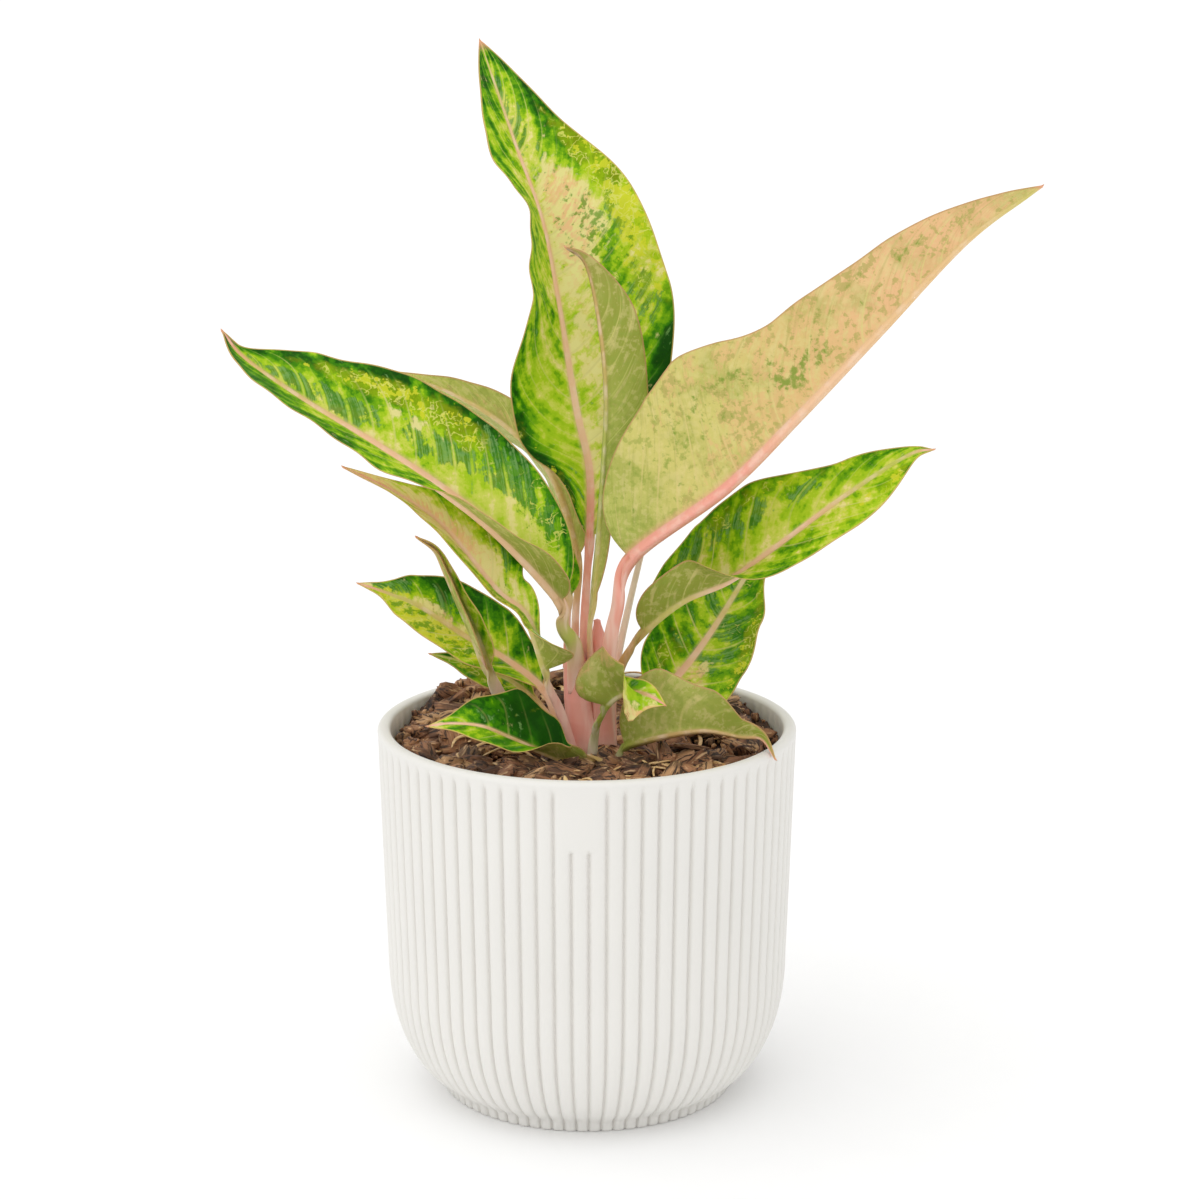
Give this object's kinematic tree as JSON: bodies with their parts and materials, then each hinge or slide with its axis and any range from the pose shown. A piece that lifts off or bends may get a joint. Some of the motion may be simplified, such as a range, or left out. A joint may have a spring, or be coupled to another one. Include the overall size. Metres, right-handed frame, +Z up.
{
  "type": "potted chinese evergreen",
  "caption": "Potted Chinese evergreen with pink-ribbed variegated leaves in a ribbed white round pot filled with bark mix.",
  "frame": {"origin": "centre of the pot's foot, on the flat underside that stands on the floor", "axes": "+Z up the plant, -Y towards the viewer and the pot's plain panel, +X to the viewer's right"},
  "size_m": [0.2941, 0.16, 0.3987],
  "materials": {
    "pot_glaze": "matte",
    "potting_mix": "rough",
    "trunk_skin": "satin",
    "leaf_variegated": "satin",
    "leaf_underside": "satin",
    "leaf_dark": "satin"
  },
  "bodies": {
    "root": {"pot": "pot_glaze", "soil": "potting_mix", "trunks": "trunk_skin", "leaf_crown": "leaf_variegated", "leaf_spire": "leaf_underside", "leaf_right_high": "leaf_underside", "leaf_right_mid": "leaf_variegated", "leaf_right_low": "leaf_variegated", "leaf_left_high": "leaf_variegated", "leaf_left_rear": "leaf_underside", "leaf_left_mid": "leaf_variegated", "leaf_left_low": "leaf_dark", "leaf_left_small": "leaf_dark", "leaf_front_left": "leaf_dark", "leaf_front_cup": "leaf_underside", "leaf_front_right": "leaf_underside", "leaf_spear": "leaf_underside", "leaf_left_inner": "leaf_dark", "leaf_back_right": "leaf_variegated"}
  },
  "joints": []
}
